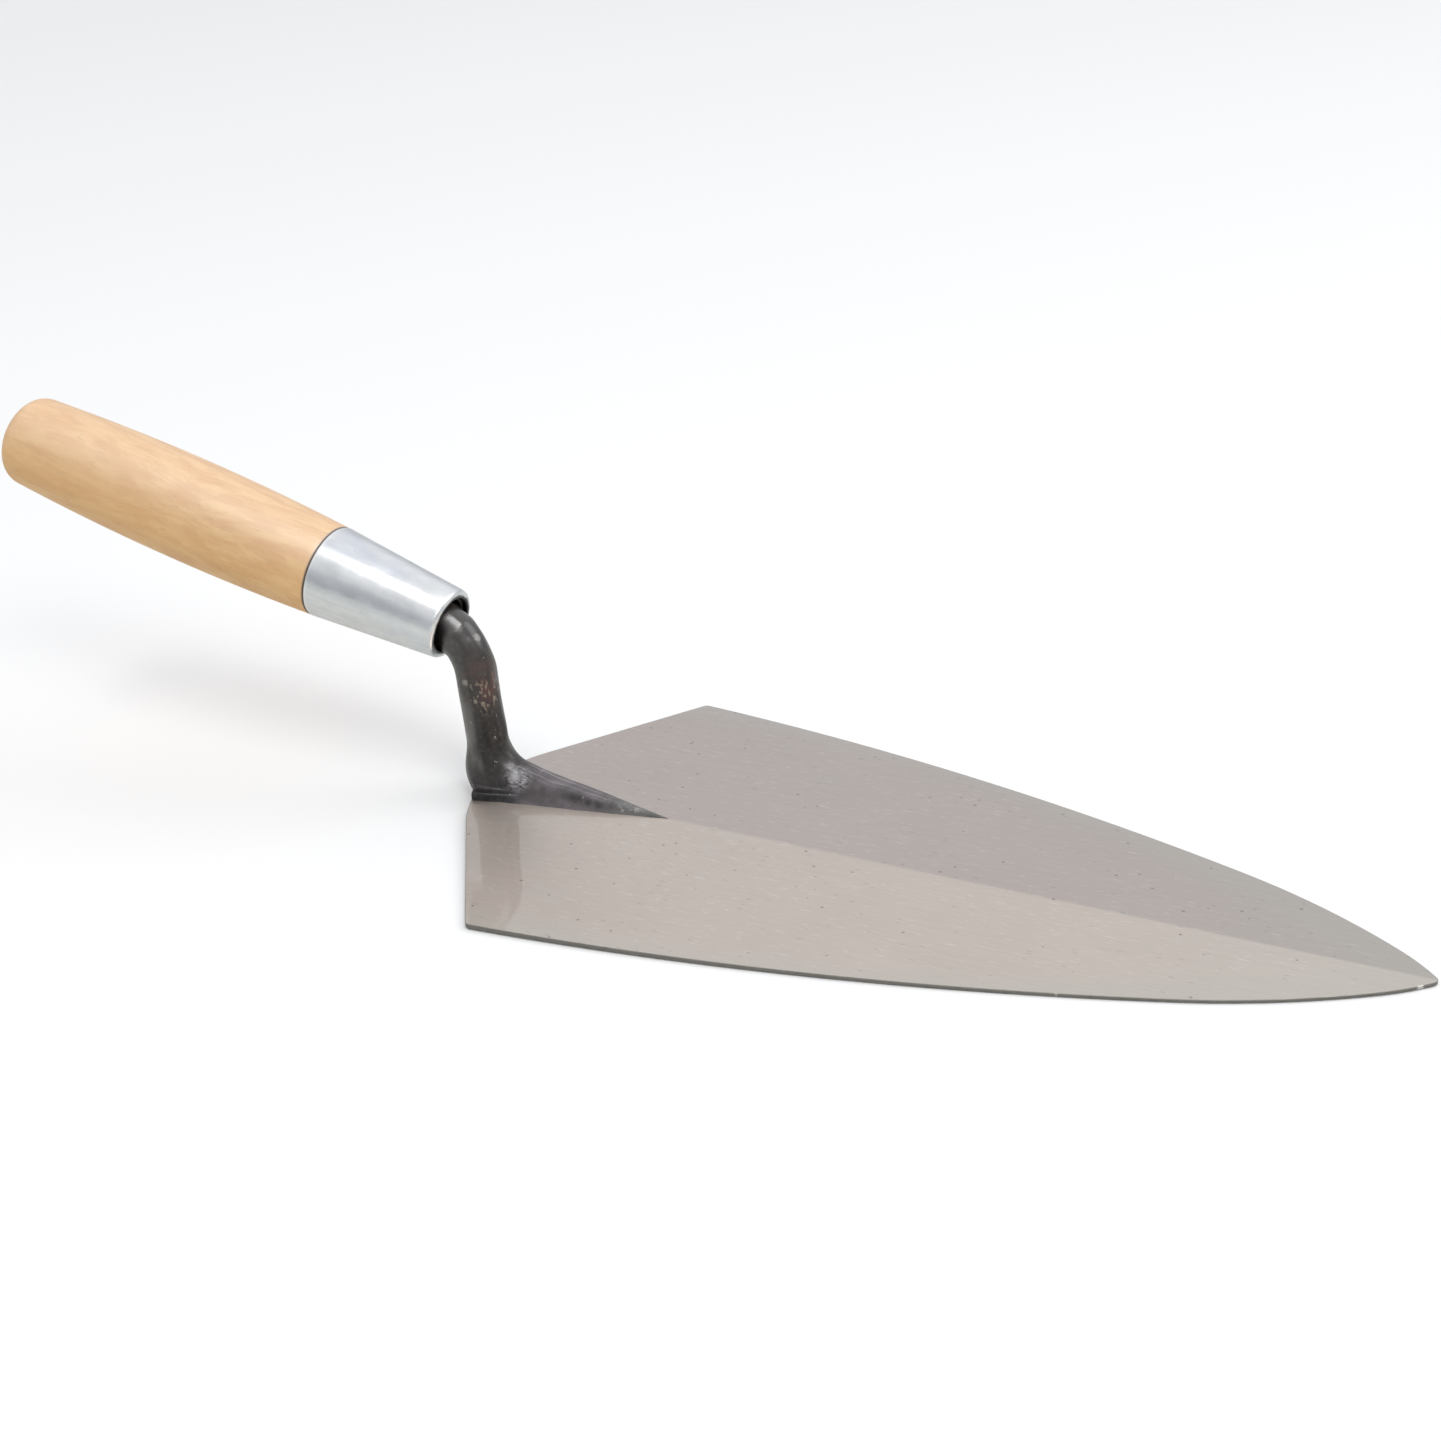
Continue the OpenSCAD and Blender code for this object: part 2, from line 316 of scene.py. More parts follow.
def blade_mesh(materials):
    """The ground blade as rows of quads across it, top and bottom, with small rounded edges."""
    bm = bmesh.new()
    rim = half_outline()
    inner = rim[:, :2] - EDGE_ROUND * rim[:, 2:]
    inner[[0, -1], 1] = 0
    share = np.linspace(-1, 1, ROW_POINTS)
    share = np.sign(share) * np.abs(share) ** ROW_CROWDING

    def vertex(x, y, z):
        return bm.verts.new((x * MM, y * MM, z * MM))

    def face_rows(height):
        rows = []
        for x, half_width in inner:
            if half_width < NEARLY_ZERO:
                rows.append([vertex(x, 0, height(x, 0))] * len(share))
            else:
                rows.append([vertex(x, y, height(x, y)) for y in share * half_width])
        for near, far in zip(rows, rows[1:]):
            for a, b, c, d in zip(near, near[1:], far[1:], far):
                add_face(bm, [a, b, c, d], GROUND)
        return [row[-1] for row in rows] + [row[0] for row in rows[-2:0:-1]]

    outline = np.vstack([rim[:, :2], rim[-2:0:-1, :2] * [1, -1]])
    top = face_rows(top_height)
    bottom = face_rows(lambda x, y: 0.0)
    upper = [vertex(x, y, top_height(x, y) - EDGE_ROUND) for x, y in outline]
    lower = [vertex(x, y, EDGE_ROUND) for x, y in outline]
    for first, second in ((top, upper), (upper, lower), (lower, bottom)):
        for i in range(len(outline)):
            j = (i + 1) % len(outline)
            add_face(bm, [first[i], first[j], second[j], second[i]], CUT_EDGE)
    return finished_object("blade", bm, materials)


def ball_sweep(x, y, z, start, end):
    """Distance to the body that a ball sweeps as it moves from start to end and changes its radius."""
    *start_place, start_radius = start
    *end_place, end_radius = end
    run = np.subtract(end_place, start_place)
    length = math.hypot(*run)
    run = run / length
    along = (x - start_place[0]) * run[0] + (z - start_place[1]) * run[1]
    side = (x - start_place[0]) * run[1] - (z - start_place[1]) * run[0]
    across = np.hypot(side, y)
    lean = math.asin((start_radius - end_radius) / length)
    share = np.clip((along + across * math.tan(lean)) / length, 0, 1)
    return np.hypot(along - share * length, across) - start_radius - share * (end_radius - start_radius)


def bend_sweep(x, y, z):
    """Distance to the round bar of the gooseneck bend."""
    turn = np.arctan2(z - bend_centre[1], x - bend_centre[0])
    turn = np.clip(turn, math.radians(SHANK_LEAN), math.radians(SHANK_LEAN + bend_angle))
    path_x = bend_centre[0] + BEND_RADIUS * np.cos(turn)
    path_z = bend_centre[1] + BEND_RADIUS * np.sin(turn)
    return np.sqrt((x - path_x) ** 2 + y**2 + (z - path_z) ** 2) - SHANK_RADIUS


def joined(a, b, soft):
    """Union of two distance fields with a fillet about soft wide."""
    overlap = np.maximum(soft - np.abs(a - b), 0) / soft
    return np.minimum(a, b) - overlap**2 * soft / 4


def cut(a, b, soft):
    """Overlap of two distance fields with a rounded edge."""
    return -joined(-a, -b, soft)


def eased(value, low, high):
    """0 below low, 1 above high and smooth in between."""
    share = np.clip((value - low) / (high - low), 0, 1)
    return share * share * (3 - 2 * share)


def forge_marks(x, y, z):
    """Slow hollows and swellings that hammering leaves. Rates of the waves are in radians a millimetre."""
    along = np.sin(0.42 * x + 0.9 * y + 1.0) * np.sin(0.31 * z + 0.5 * y)
    around = np.sin(0.75 * y - 0.6 * x + 2.0) * np.cos(0.52 * z + 0.2 * x)
    return FORGE_MARK * (along + around)


def root_field(x, y, z):
    """Distance to the root: a foot with a ledge, sloped faces above it, and a crest along a spine."""
    from_heel = x - HEEL_X
    to_tip = np.maximum(ROOT_TIP_X - x, 0)
    half_width = FOOT_SPREAD * to_tip + FOOT_FLARE * np.exp(-from_heel / FLARE_FADE)
    rise = CREST_RISE * to_tip
    ledge = FOOT_HEIGHT + LEDGE_SHARE * rise
    draft = np.radians(FOOT_DRAFT * eased(from_heel, *DRAFT_SPAN))
    side = (np.abs(y) - half_width) * np.cos(draft) + (z - FOOT_HEIGHT) * np.sin(draft)
    heel = np.hypot(x - HEEL_X - HEEL_ROUND, y) - HEEL_ROUND + FOOT_INSET
    foot = cut(cut(side, z - ledge, LEDGE_ROUND), heel, FOOT_ROUND)

    ledge_width = half_width - (ledge - FOOT_HEIGHT) * np.tan(draft)
    slope_run = np.maximum(ledge_width - CREST_SHARE * half_width, THINNEST)
    slope_rise = np.maximum((1 - LEDGE_SHARE) * rise, THINNEST)
    slope = (np.abs(y) - ledge_width) * slope_rise + (z - ledge) * slope_run
    slope = slope / np.hypot(slope_rise, slope_run) + BACK_DROP * (1 - eased(from_heel, *BACK_SPAN))
    slope = cut(slope, heel + BACK_INSET, BACK_ROUND)
    crest = z - FOOT_HEIGHT - rise + CREST_BULGE * rise * np.exp(-(y**2))
    fillet = np.clip(FILLET_GROWTH * to_tip, SMALLEST_FILLET, LARGEST_FILLET)
    spine = ball_sweep(x, y, z, BOSS, SPINE_TIP)
    return cut(joined(joined(spine, slope, fillet), foot, fillet / 3), crest, fillet / 16)


def bar_field(x, y, z):
    """Distance to the round bar: shank, bend, start of the tang, and a collar in the ferrule's mouth."""
    shank = ball_sweep(x, y, z, SHANK_FOOT, SHANK_TOP)
    tang = ball_sweep(x, y, z, TANG_ROOT, TANG_NECK)
    collar = ball_sweep(x, y, z, COLLAR_FRONT, COLLAR_BACK)
    bar = np.minimum(np.minimum(shank, bend_sweep(x, y, z)), tang)
    return joined(bar, collar, COLLAR_FILLET)


def forged_field(x, y, z):
    """Distance to the dark forged steel, in which root, gusset and bar run into each other."""
    gusset = ball_sweep(x, y, z, GUSSET_TOP, GUSSET_FOOT)
    undercut = (HEEL_X - x + UNDERCUT - z) / math.sqrt(2)
    body = joined(root_field(x, y, z), gusset, GUSSET_FILLET)
    body = cut(joined(body, bar_field(x, y, z), SHANK_FILLET), undercut, UNDERCUT_ROUND)
    hammered = eased(ROOT_TIP_X - x, *HAMMERED_TIP_SPAN) * eased(x, mouth[0] - SMOOTH_COLLAR, mouth[0])
    return np.maximum(body + forge_marks(x, y, z) * hammered, SEAT_HEIGHT - z)


def forged_mesh(materials):
    """The dark forged steel's surface, taken from its distance field and then drawn exactly onto it."""
    step = GRID_STEP
    low = np.array([bend_end[0] - BACK_ROOM, -SIDE_ROOM, 0.0])
    high = np.array([ROOT_TIP_X + TIP_ROOM, SIDE_ROOM, bend_end[1] + TOP_ROOM])
    spans = [np.arange(a, b, step) for a, b in zip(low, high)]
    field = forged_field(*np.meshgrid(*spans, indexing="ij"))
    volume = openvdb.FloatGrid(FAR_AWAY)
    volume.copyFromArray(field.astype(np.float32))
    points, quads = volume.convertToQuads(0.0)
    points = low + step * points.astype(float)
    for _ in range(PULLS):
        x, y, z = points.T
        slope = np.column_stack([
            forged_field(x + SLOPE_REACH, y, z) - forged_field(x - SLOPE_REACH, y, z),
            forged_field(x, y + SLOPE_REACH, z) - forged_field(x, y - SLOPE_REACH, z),
            forged_field(x, y, z + SLOPE_REACH) - forged_field(x, y, z - SLOPE_REACH),
        ]) / (2 * SLOPE_REACH)
        size = np.maximum((slope**2).sum(1), FLATTEST_SLOPE)
        points = points - (forged_field(x, y, z) / size)[:, None] * slope
    bm = bmesh.new()
    vertices = [bm.verts.new(p * MM) for p in points]
    for quad in quads:
        add_face(bm, [vertices[i] for i in quad], FORGED)
    return finished_object("root", bm, materials)


def place_on_handle_axis(piece):
    """Turns local Z onto the handle's axis, with the origin in the middle of the ferrule's mouth."""
    turn = Matrix.Rotation(math.radians(HANDLE_TILT - 90), 4, "Y")
    piece.matrix_world = Matrix.Translation((mouth[0] * MM, 0, mouth[1] * MM)) @ turn


def unite(piece, other):
    """Adds the other object's solid to piece and removes the other object."""
    union = piece.modifiers.new("union", "BOOLEAN")
    union.operation = "UNION"
    union.solver = "MANIFOLD"
    union.object = other
    bpy.context.view_layer.update()
    evaluated = piece.evaluated_get(bpy.context.evaluated_depsgraph_get())
    mesh = bpy.data.meshes.new_from_object(evaluated)
    piece.modifiers.clear()
    piece.data = mesh
    bpy.data.objects.remove(other)


def make_forging():
    """Blade, root, shank and tang as the one forging they are."""
    materials = [ground_steel(), cut_edge(), forged_steel()]
    forging = blade_mesh(materials)
    unite(forging, forged_mesh(materials))
    tang = lathe("tang", [
        [tang_start + TANG_OVERLAP, 0],
        [tang_start + TANG_OVERLAP, SHANK_RADIUS - TANG_INSET],
        [tang_start + TANG_LENGTH, TANG_TIP_RADIUS],
        [tang_start + TANG_LENGTH, 0],
    ], TANG_SEGMENTS, materials, FORGED)
    place_on_handle_axis(tang)
    unite(forging, tang)
    forging.name = "trowel_forging"
    smooth(forging.data)
    return forging


def make_ferrule():
    """A tapered tube with a rounded rim at its mouth and a lip around the shank."""
    rim = arc([RIM_ROUND, MOUTH_RADIUS - RIM_ROUND], RIM_ROUND, 180, 90, steps=10)
    wide_centre = [FERRULE_LENGTH - WIDE_EDGE_ROUND, FERRULE_RADIUS - WIDE_EDGE_ROUND]
    wide_edge = arc(wide_centre, WIDE_EDGE_ROUND, 90, 0, steps=6)
    hole_centre = [MOUTH_HOLE_ROUND, MOUTH_HOLE_RADIUS + MOUTH_HOLE_ROUND]
    hole_edge = arc(hole_centre, MOUTH_HOLE_ROUND, 270, 180, steps=5)
    profile = np.vstack([
        rim[:, :2],
        wide_edge[:, :2],
        [[FERRULE_LENGTH, FERRULE_RADIUS - FERRULE_WALL]],
        [[LIP_DEPTH, MOUTH_RADIUS - FERRULE_WALL]],
        [[LIP_DEPTH, MOUTH_HOLE_RADIUS]],
        hole_edge[:, :2],
    ])
    ferrule = lathe("turned_ferrule", profile, TURNED_SEGMENTS, [plated_steel()])
    place_on_handle_axis(ferrule)
    return ferrule


def grip_radius(along):
    """Radius of the barrel-shaped grip."""
    return GRIP_RADIUS - (along - GRIP_SWELL_AT) ** 2 / (2 * BARREL_RADIUS)


def make_handle():
    """The turned grip with its rounded butt, the tenon inside the ferrule and the bore for the tang."""
    butt_start = GRIP_LENGTH - BUTT_ROUND
    butt = arc([butt_start, grip_radius(butt_start) - BUTT_ROUND], BUTT_ROUND, 90, 0, steps=14)
    shoulder_start = FERRULE_LENGTH + SHOULDER_ROUND
    barrel = np.linspace(butt_start, shoulder_start, num=60)[1:-1]
    shoulder_centre = [shoulder_start, grip_radius(FERRULE_LENGTH) - SHOULDER_ROUND]
    shoulder = arc(shoulder_centre, SHOULDER_ROUND, 90, 180, steps=5)
    bore_end = tang_start + TANG_LENGTH + BORE_SPARE
    profile = np.vstack([
        [[GRIP_LENGTH, 0]],
        butt[::-1, :2],
        np.column_stack([barrel, grip_radius(barrel)]),
        shoulder[:, :2],
        [[FERRULE_LENGTH, FERRULE_RADIUS - FERRULE_WALL - SNUG]],
        [[LIP_DEPTH + SNUG, MOUTH_RADIUS - FERRULE_WALL - SNUG]],
        [[LIP_DEPTH + SNUG, COLLAR_BORE_RADIUS]],
        [[COLLAR_BORE_DEPTH, COLLAR_BORE_RADIUS]],
        [[COLLAR_BORE_DEPTH, SHANK_RADIUS + SNUG]],
        [[tang_start, SHANK_RADIUS + SNUG]],
        [[bore_end, TANG_TIP_RADIUS + SNUG]],
        [[bore_end, 0]],
    ])
    handle = lathe("turned_handle", profile, TURNED_SEGMENTS, [hardwood()])
    place_on_handle_axis(handle)
    return handle


# ---------------------------------------------------------------- materials


class Shader:
    """A material or a world whose nodes are added one call at a time. Inputs are values or nodes' outputs."""

    def __init__(self, owner):
        self.owner = owner
        owner.use_nodes = True
        self.tree = owner.node_tree
        self.tree.nodes.clear()

    def node(self, kind, inputs=None, **settings):
        """A new node with its settings and inputs filled in."""
        made = self.tree.nodes.new(kind)
        for key, value in settings.items():
            setattr(made, key, value)
        for key, value in (inputs or {}).items():
            if isinstance(value, bpy.types.NodeSocket):
                self.tree.links.new(value, made.inputs[key])
            else:
                made.inputs[key].default_value = value
        return made

    # Numbers and vectors

    def math(self, operation, a, b=0.0):
        """A number worked out from one or two others."""
        return self.node("ShaderNodeMath", {0: a, 1: b}, operation=operation).outputs[0]

    def product(self, first, *others):
        """All the values multiplied together."""
        for other in others:
            first = self.math("MULTIPLY", first, other)
        return first

    def vector(self, operation, a, b=(0, 0, 0)):
        """A vector worked out from one or two others."""
        return self.node("ShaderNodeVectorMath", {0: a, 1: b}, operation=operation).outputs["Vector"]

    def measure(self, operation, a, b=(0, 0, 0)):
        """A number worked out from one or two vectors, such as a distance."""
        return self.node("ShaderNodeVectorMath", {0: a, 1: b}, operation=operation).outputs["Value"]

    def fade(self, value, low, high, start=0.0, end=1.0):
        """Goes smoothly from start to end as value goes from low to high."""
        inputs = {"Value": value, "From Min": low, "From Max": high, "To Min": start, "To Max": end}
        return self.node("ShaderNodeMapRange", inputs, interpolation_type="SMOOTHSTEP").outputs["Result"]

    def fade_mm(self, value, low, high, start=0.0, end=1.0):
        """Like fade, for a length in metres, with low and high in millimetres."""
        return self.fade(value, low * MM, high * MM, start, end)

    def mix(self, share, a, b):
        """Colour a where share is 0 and colour b where it is 1."""
        made = self.node("ShaderNodeMix", {0: share}, data_type="RGBA")
        for socket, value in ((made.inputs[6], a), (made.inputs[7], b)):
            if isinstance(value, bpy.types.NodeSocket):
                self.tree.links.new(value, socket)
            else:
                socket.default_value = (*value, 1)
        return made.outputs[2]

    # Places

    def place(self, scale=(1, 1, 1), offset=(0, 0, 0)):
        """The piece's own coordinates in metres, stretched by scale."""
        where = self.node("ShaderNodeTexCoord").outputs["Object"]
        inputs = {"Vector": where, "Scale": scale, "Location": offset}
        return self.node("ShaderNodeMapping", inputs).outputs["Vector"]

    def axis(self, name, where=None):
        """One coordinate of where, or of the piece's own place."""
        where = self.place() if where is None else where
        return self.node("ShaderNodeSeparateXYZ", {0: where}).outputs[name]

    def from_heel(self):
        """Distance along X from the blade's heel."""
        return self.math("SUBTRACT", self.axis("X"), HEEL_X * MM)

    def beyond(self, start, way):
        """How far the surface lies along way from start, a place in millimetres."""
        from_start = self.vector("SUBTRACT", self.place(), [v * MM for v in start])
        return self.measure("DOT_PRODUCT", from_start, way)

    def near(self, centre, reach):
        """1 at centre, falling to 0 at reach from it, in millimetres. X of the centre is from the heel."""
        centre = [(HEEL_X + centre[0]) * MM, centre[1] * MM, centre[2] * MM]
        distance = self.measure("DISTANCE", self.place(), centre)
        return self.fade_mm(distance, 0.0, reach, 1.0, 0.0)

    def radius(self):
        """Distance from the piece's own Z axis."""
        return self.measure("LENGTH", self.place((1, 1, 0)))

    def around_axis(self, around, along):
        """A place whose X and Y go around the piece's own Z axis, whatever the radius, with Z along it."""
        ring = self.vector("NORMALIZE", self.place((1, 1, 0)))
        ring = self.vector("MULTIPLY", ring, (around, around, around))
        lift = self.node("ShaderNodeCombineXYZ", {"Z": self.product(self.axis("Z"), along)}).outputs[0]
        return self.vector("ADD", ring, lift)

    def world_normal(self):
        """The way the surface faces, in the world."""
        return self.node("ShaderNodeNewGeometry").outputs["Normal"]

    # Textures and surface

    def noise(self, where, detail, roughness=0.5):
        """Cloudy noise around 0.5."""
        inputs = {"Vector": where, "Scale": 1.0, "Detail": detail, "Roughness": roughness}
        return self.node("ShaderNodeTexNoise", inputs).outputs["Fac"]

    def pits(self, scale, rarity):
        """1 in small pits, one in some of the cells of a stretched grid, and 0 elsewhere."""
        where = {"Vector": self.place(scale), "Scale": 1.0}
        cell = self.node("ShaderNodeTexVoronoi", where, voronoi_dimensions="2D")
        chosen = self.node("ShaderNodeSeparateColor", {"Color": cell.outputs["Color"]}).outputs["Red"]
        size = self.fade(chosen, rarity, 1.0, -0.03, 0.18)
        return self.fade(self.math("SUBTRACT", cell.outputs["Distance"], size), -0.05, 0.03, 1.0, 0.0)

    def bump(self, height, depth, below=None):
        """Surface relief: height from 0 to 1 stands for depth millimetres."""
        inputs = {"Height": height, "Strength": 1.0, "Distance": depth * MM}
        if below is not None:
            inputs["Normal"] = below
        return self.node("ShaderNodeBump", inputs).outputs["Normal"]

    def surface(self, **inputs):
        """Ends the material with one principled surface."""
        named = {key.replace("_", " "): value for key, value in inputs.items()}
        principled = self.node("ShaderNodeBsdfPrincipled", named)
        self.node("ShaderNodeOutputMaterial", {"Surface": principled.outputs[0]})
        return self.owner


BLADE_DARK = (0.498, 0.429, 0.382)
BLADE_PALE = (0.543, 0.471, 0.420)
BLADE_CLOUD = (0.504, 0.466, 0.407)
BLADE_BY_TIP = (0.504, 0.474, 0.422)
BLADE_HEEL_SHADE = (0.410, 0.355, 0.313)
BLADE_LEFT_FACET_SHADE = (0.30, 0.20, 0.20)
BLADE_BY_EDGE = (0.490, 0.460, 0.410)
BLADE_BRIGHT_FLECK = (0.66, 0.60, 0.54)
BLADE_MARK = (0.36, 0.32, 0.29)
BLADE_PIT = (0.12, 0.10, 0.10)
RIDGE_BLUR = 0.6
FACET_LEAN = 0.11
TIP_TINT_SPAN = (179.7, 269.7)
HEEL_SHADE_SPAN = (-0.3, 129.7)

# The blade's edge as a parabola, for its tint: where it is widest, half that width, and its bow a metre.
WIDEST_FROM_HEEL = 35.7
WIDEST_HALF = 69.9
EDGE_BOW = 1.176
EDGE_TINT_REACH = 14.0


def facet_normal(s):
    """The normal on the blade's top faces, leaned outward from the ridge so that the two facets differ."""
    normal = s.world_normal()
    upward = s.fade(s.axis("Z", normal), 0.9, 0.99)
    side = s.fade_mm(s.axis("Y"), -RIDGE_BLUR, RIDGE_BLUR, -FACET_LEAN, FACET_LEAN)
    outward = s.node("ShaderNodeCombineXYZ", {"Y": s.product(side, upward)}).outputs[0]
    return s.vector("NORMALIZE", s.vector("ADD", normal, outward))


def inside_edge(s):
    """Distance from the blade's long edges, inward."""
    from_widest = s.math("SUBTRACT", s.from_heel(), WIDEST_FROM_HEEL * MM)
    narrowing = s.product(s.math("POWER", from_widest, 2.0), EDGE_BOW)
    half_width = s.math("SUBTRACT", WIDEST_HALF * MM, narrowing)
    return s.math("SUBTRACT", half_width, s.math("ABSOLUTE", s.axis("Y")))


def ground_steel():
    """Ground, clear-lacquered blade: fine marks along X, soft clouds, short flecks, a few dark pits, and
    painted shade towards the heel and on the left facet.
    """
    s = Shader(bpy.data.materials.new("ground_steel"))
    marks = s.noise(s.place((55, 1300, 1300)), detail=3.0, roughness=0.6)
    fine_marks = s.noise(s.place((160, 5200, 5200)), detail=2.0)
    clouds = s.noise(s.place((26, 44, 44)), detail=3.0)
    tint = s.noise(s.place((60, 90, 90), (3, 1, 2)), detail=3.0)
    bright_flecks = s.noise(s.place((210, 1500, 1), (0, 6, 0)), detail=2.0)
    dashes = s.product(s.pits((190, 900, 1), 0.86), 0.5)
    pits = s.math("MAXIMUM", s.pits((360, 400, 1), 0.95), dashes)

    base = s.mix(clouds, BLADE_DARK, BLADE_PALE)
    base = s.mix(s.fade(tint, 0.42, 0.7, 0.0, 0.35), base, BLADE_CLOUD)
    base = s.mix(s.fade_mm(s.from_heel(), *TIP_TINT_SPAN, 0.0, 0.6), base, BLADE_BY_TIP)
    # Painted shade: darker towards the heel, for the light that rises across the blade from heel to tip.
    base = s.mix(s.fade_mm(s.from_heel(), *HEEL_SHADE_SPAN, 0.29, 0.0), base, BLADE_HEEL_SHADE)
    # Painted shade: the left (+Y) facet is made a little darker.
    base = s.mix(s.fade_mm(s.axis("Y"), -RIDGE_BLUR, RIDGE_BLUR, 0.0, 0.08), base, BLADE_LEFT_FACET_SHADE)
    base = s.mix(s.fade(bright_flecks, 0.60, 0.70, 0.0, 0.5), base, BLADE_BRIGHT_FLECK)
    base = s.mix(s.fade_mm(inside_edge(s), 0.0, EDGE_TINT_REACH, 0.7, 0.0), base, BLADE_BY_EDGE)
    base = s.mix(s.fade(marks, 0.35, 0.7, 0.0, 0.10), base, BLADE_MARK)
    base = s.mix(s.product(pits, 0.52), base, BLADE_PIT)
    roughness = s.math("ADD", s.fade(marks, 0.3, 0.7, 0.44, 0.48), s.fade(clouds, 0.3, 0.7, 0.0, 0.03))
    normal = s.bump(marks, 0.003, s.bump(fine_marks, 0.002, facet_normal(s)))
    along = s.node("ShaderNodeCombineXYZ", {"X": 1.0}).outputs[0]
    return s.surface(
        Base_Color=base, Metallic=1.0, Roughness=roughness, Anisotropic=0.5, Tangent=along,
        Normal=normal, Coat_Weight=0.9, Coat_Roughness=0.03,
    )


EDGE_DARK = (0.14, 0.13, 0.115)
EDGE_PALE = (0.30, 0.285, 0.26)
EDGE_NICK = (0.62, 0.60, 0.56)


def cut_edge():
    """Unpolished edge of the blade, with bright nicks."""
    s = Shader(bpy.data.materials.new("cut_edge"))
    grit = s.noise(s.place((400, 400, 900)), detail=4.0)
    nicks = s.fade(s.noise(s.place((160, 160, 20)), detail=2.0), 0.68, 0.74)
    base = s.mix(nicks, s.mix(grit, EDGE_DARK, EDGE_PALE), EDGE_NICK)
    roughness = s.fade(grit, 0.3, 0.7, 0.45, 0.65)
    return s.surface(Base_Color=base, Metallic=0.7, Roughness=roughness, Normal=s.bump(grit, 0.03))


FORGED_DARK = (0.010, 0.008, 0.007)
FORGED_PALE = (0.048, 0.039, 0.034)
FORGED_LOW_SHADE = (0.004, 0.003, 0.003)
FORGED_GRIT = (0.10, 0.095, 0.09)
ROOT_BY_HEEL = (0.150, 0.130, 0.138)
ROOT_BY_TIP = (0.140, 0.136, 0.130)
ROOT_VALLEY_SHADE = (0.014, 0.014, 0.013)
ROOT_CREST_HIGHLIGHT = (0.36, 0.34, 0.35)
FOOT_SHADE = (0.010, 0.009, 0.011)
SHANK_SIDE_LIGHT = (0.165, 0.154, 0.140)
RUST = (0.092, 0.040, 0.034)
RUST_SCALE = (0.33, 0.28, 0.21)
ROOT_DOT = (0.48, 0.46, 0.43)
WORN_PATCH_AND_HIGHLIGHT = (0.27, 0.25, 0.23)
WORN_AND_HIGHLIGHT = (0.56, 0.55, 0.56)
FORGED_FLECK = (0.33, 0.30, 0.26)
MOUTH_DARK = (0.004, 0.004, 0.004)

# The painted valley shade's height at the heel and its slope, the painted crest highlights' slope from the
# root's tip and their blur, and the way that the shank's painted side light faces.
VALLEY_SHADE_HEIGHT = 9.22
VALLEY_SHADE_FALL = 0.129
CREST_LINE = 0.036
CREST_LINE_BLUR = 0.010
SIDE_LIGHT_WAY = (-0.5, -0.87, -0.027)

# Marks on the forging, as a place from the heel, to the left and up, with the mark's reach.
RUST_SPOT = (6.2, -2.5, 37.5), 10.5
RUST_SCALE_SPOT = (5.7, -4.0, 34.0), 8.5
DOTS_SPOT = (49.7, -2.2, 2.8), 5.5
PATCH_AND_HIGHLIGHT_SPOTS = ((2.9, -0.5, 50.6), 2.8), ((0.5, -5.6, 38.0), 2.8)
WORN_HIGHLIGHT_SPOT = (13.9, -4.4, 8.4), 5.5
HIGHLIGHT_CORE_SPOT = (13.1, -4.6, 8.8), 3.0


def root_tone(s, base, clouds):
    """A paler, cloudy tone low down, which turns from violet to grey towards the root's tip."""
    low_down = s.fade_mm(s.axis("Z"), 7, 14, 1.0, 0.0)
    cloudy = s.fade(clouds, 0.3, 0.65, 0.45, 0.95)
    past_shank = s.fade_mm(s.from_heel(), 7.7, 18.7, 0.12, 1.0)
    tone = s.mix(s.fade_mm(s.from_heel(), 37.7, 47.7), ROOT_BY_HEEL, ROOT_BY_TIP)
    return s.mix(s.product(low_down, cloudy, past_shank), base, tone)


def valley_shade_line(s, base, mottle):
    """Painted shade: a broken dark line along the valley in the middle of the root's flank."""
    line = s.math("SUBTRACT", VALLEY_SHADE_HEIGHT * MM, s.product(s.from_heel(), VALLEY_SHADE_FALL))
    off_line = s.math("ABSOLUTE", s.math("SUBTRACT", s.axis("Z"), line))
    on_line = s.fade_mm(off_line, 0.2, 1.7, 1.0, 0.0)
    starts = s.fade_mm(s.from_heel(), 25.7, 32.7)
    ends = s.fade_mm(s.from_heel(), 38.7, 45.7, 1.0, 0.0)
    broken = s.fade(mottle, 0.25, 0.55, 0.1, 0.85)
    return s.mix(s.product(on_line, starts, ends, broken), base, ROOT_VALLEY_SHADE)


def painted_shank_side_light(s, base, clouds):
    """Painted light: a paler band up the shank, on the side towards the butt and -Y."""
    band = s.fade_mm(s.beyond((SHANK_X, 0, 0), SIDE_LIGHT_WAY), 4.4, 5.8)
    cloudy = s.fade(clouds, 0.35, 0.6, 0.3, 0.8)
    fading_up = s.fade_mm(s.axis("Z"), 30, 44, 1.0, 0.2)
    above_root = s.fade_mm(s.axis("Z"), 8, 14)
    return s.mix(s.product(band, cloudy, fading_up, above_root), base, SHANK_SIDE_LIGHT)


def crest_highlight_lines(s, base, clouds):
    """Painted highlights: two bright lines along the corners of the root's crest."""
    to_tip = s.math("SUBTRACT", ROOT_TIP_X * MM, s.axis("X"))
    slant = s.math("DIVIDE", s.math("ABSOLUTE", s.axis("Y")), to_tip)
    off_line = s.math("ABSOLUTE", s.math("SUBTRACT", slant, CREST_LINE))
    on_line = s.fade(off_line, 0.0, CREST_LINE_BLUR, 1.0, 0.0)
    past_shank = s.fade_mm(s.from_heel(), 9.7, 17.7)
    cloudy = s.fade(clouds, 0.35, 0.6, 0.2, 0.6)
    return s.mix(s.product(on_line, past_shank, cloudy), base, ROOT_CREST_HIGHLIGHT)


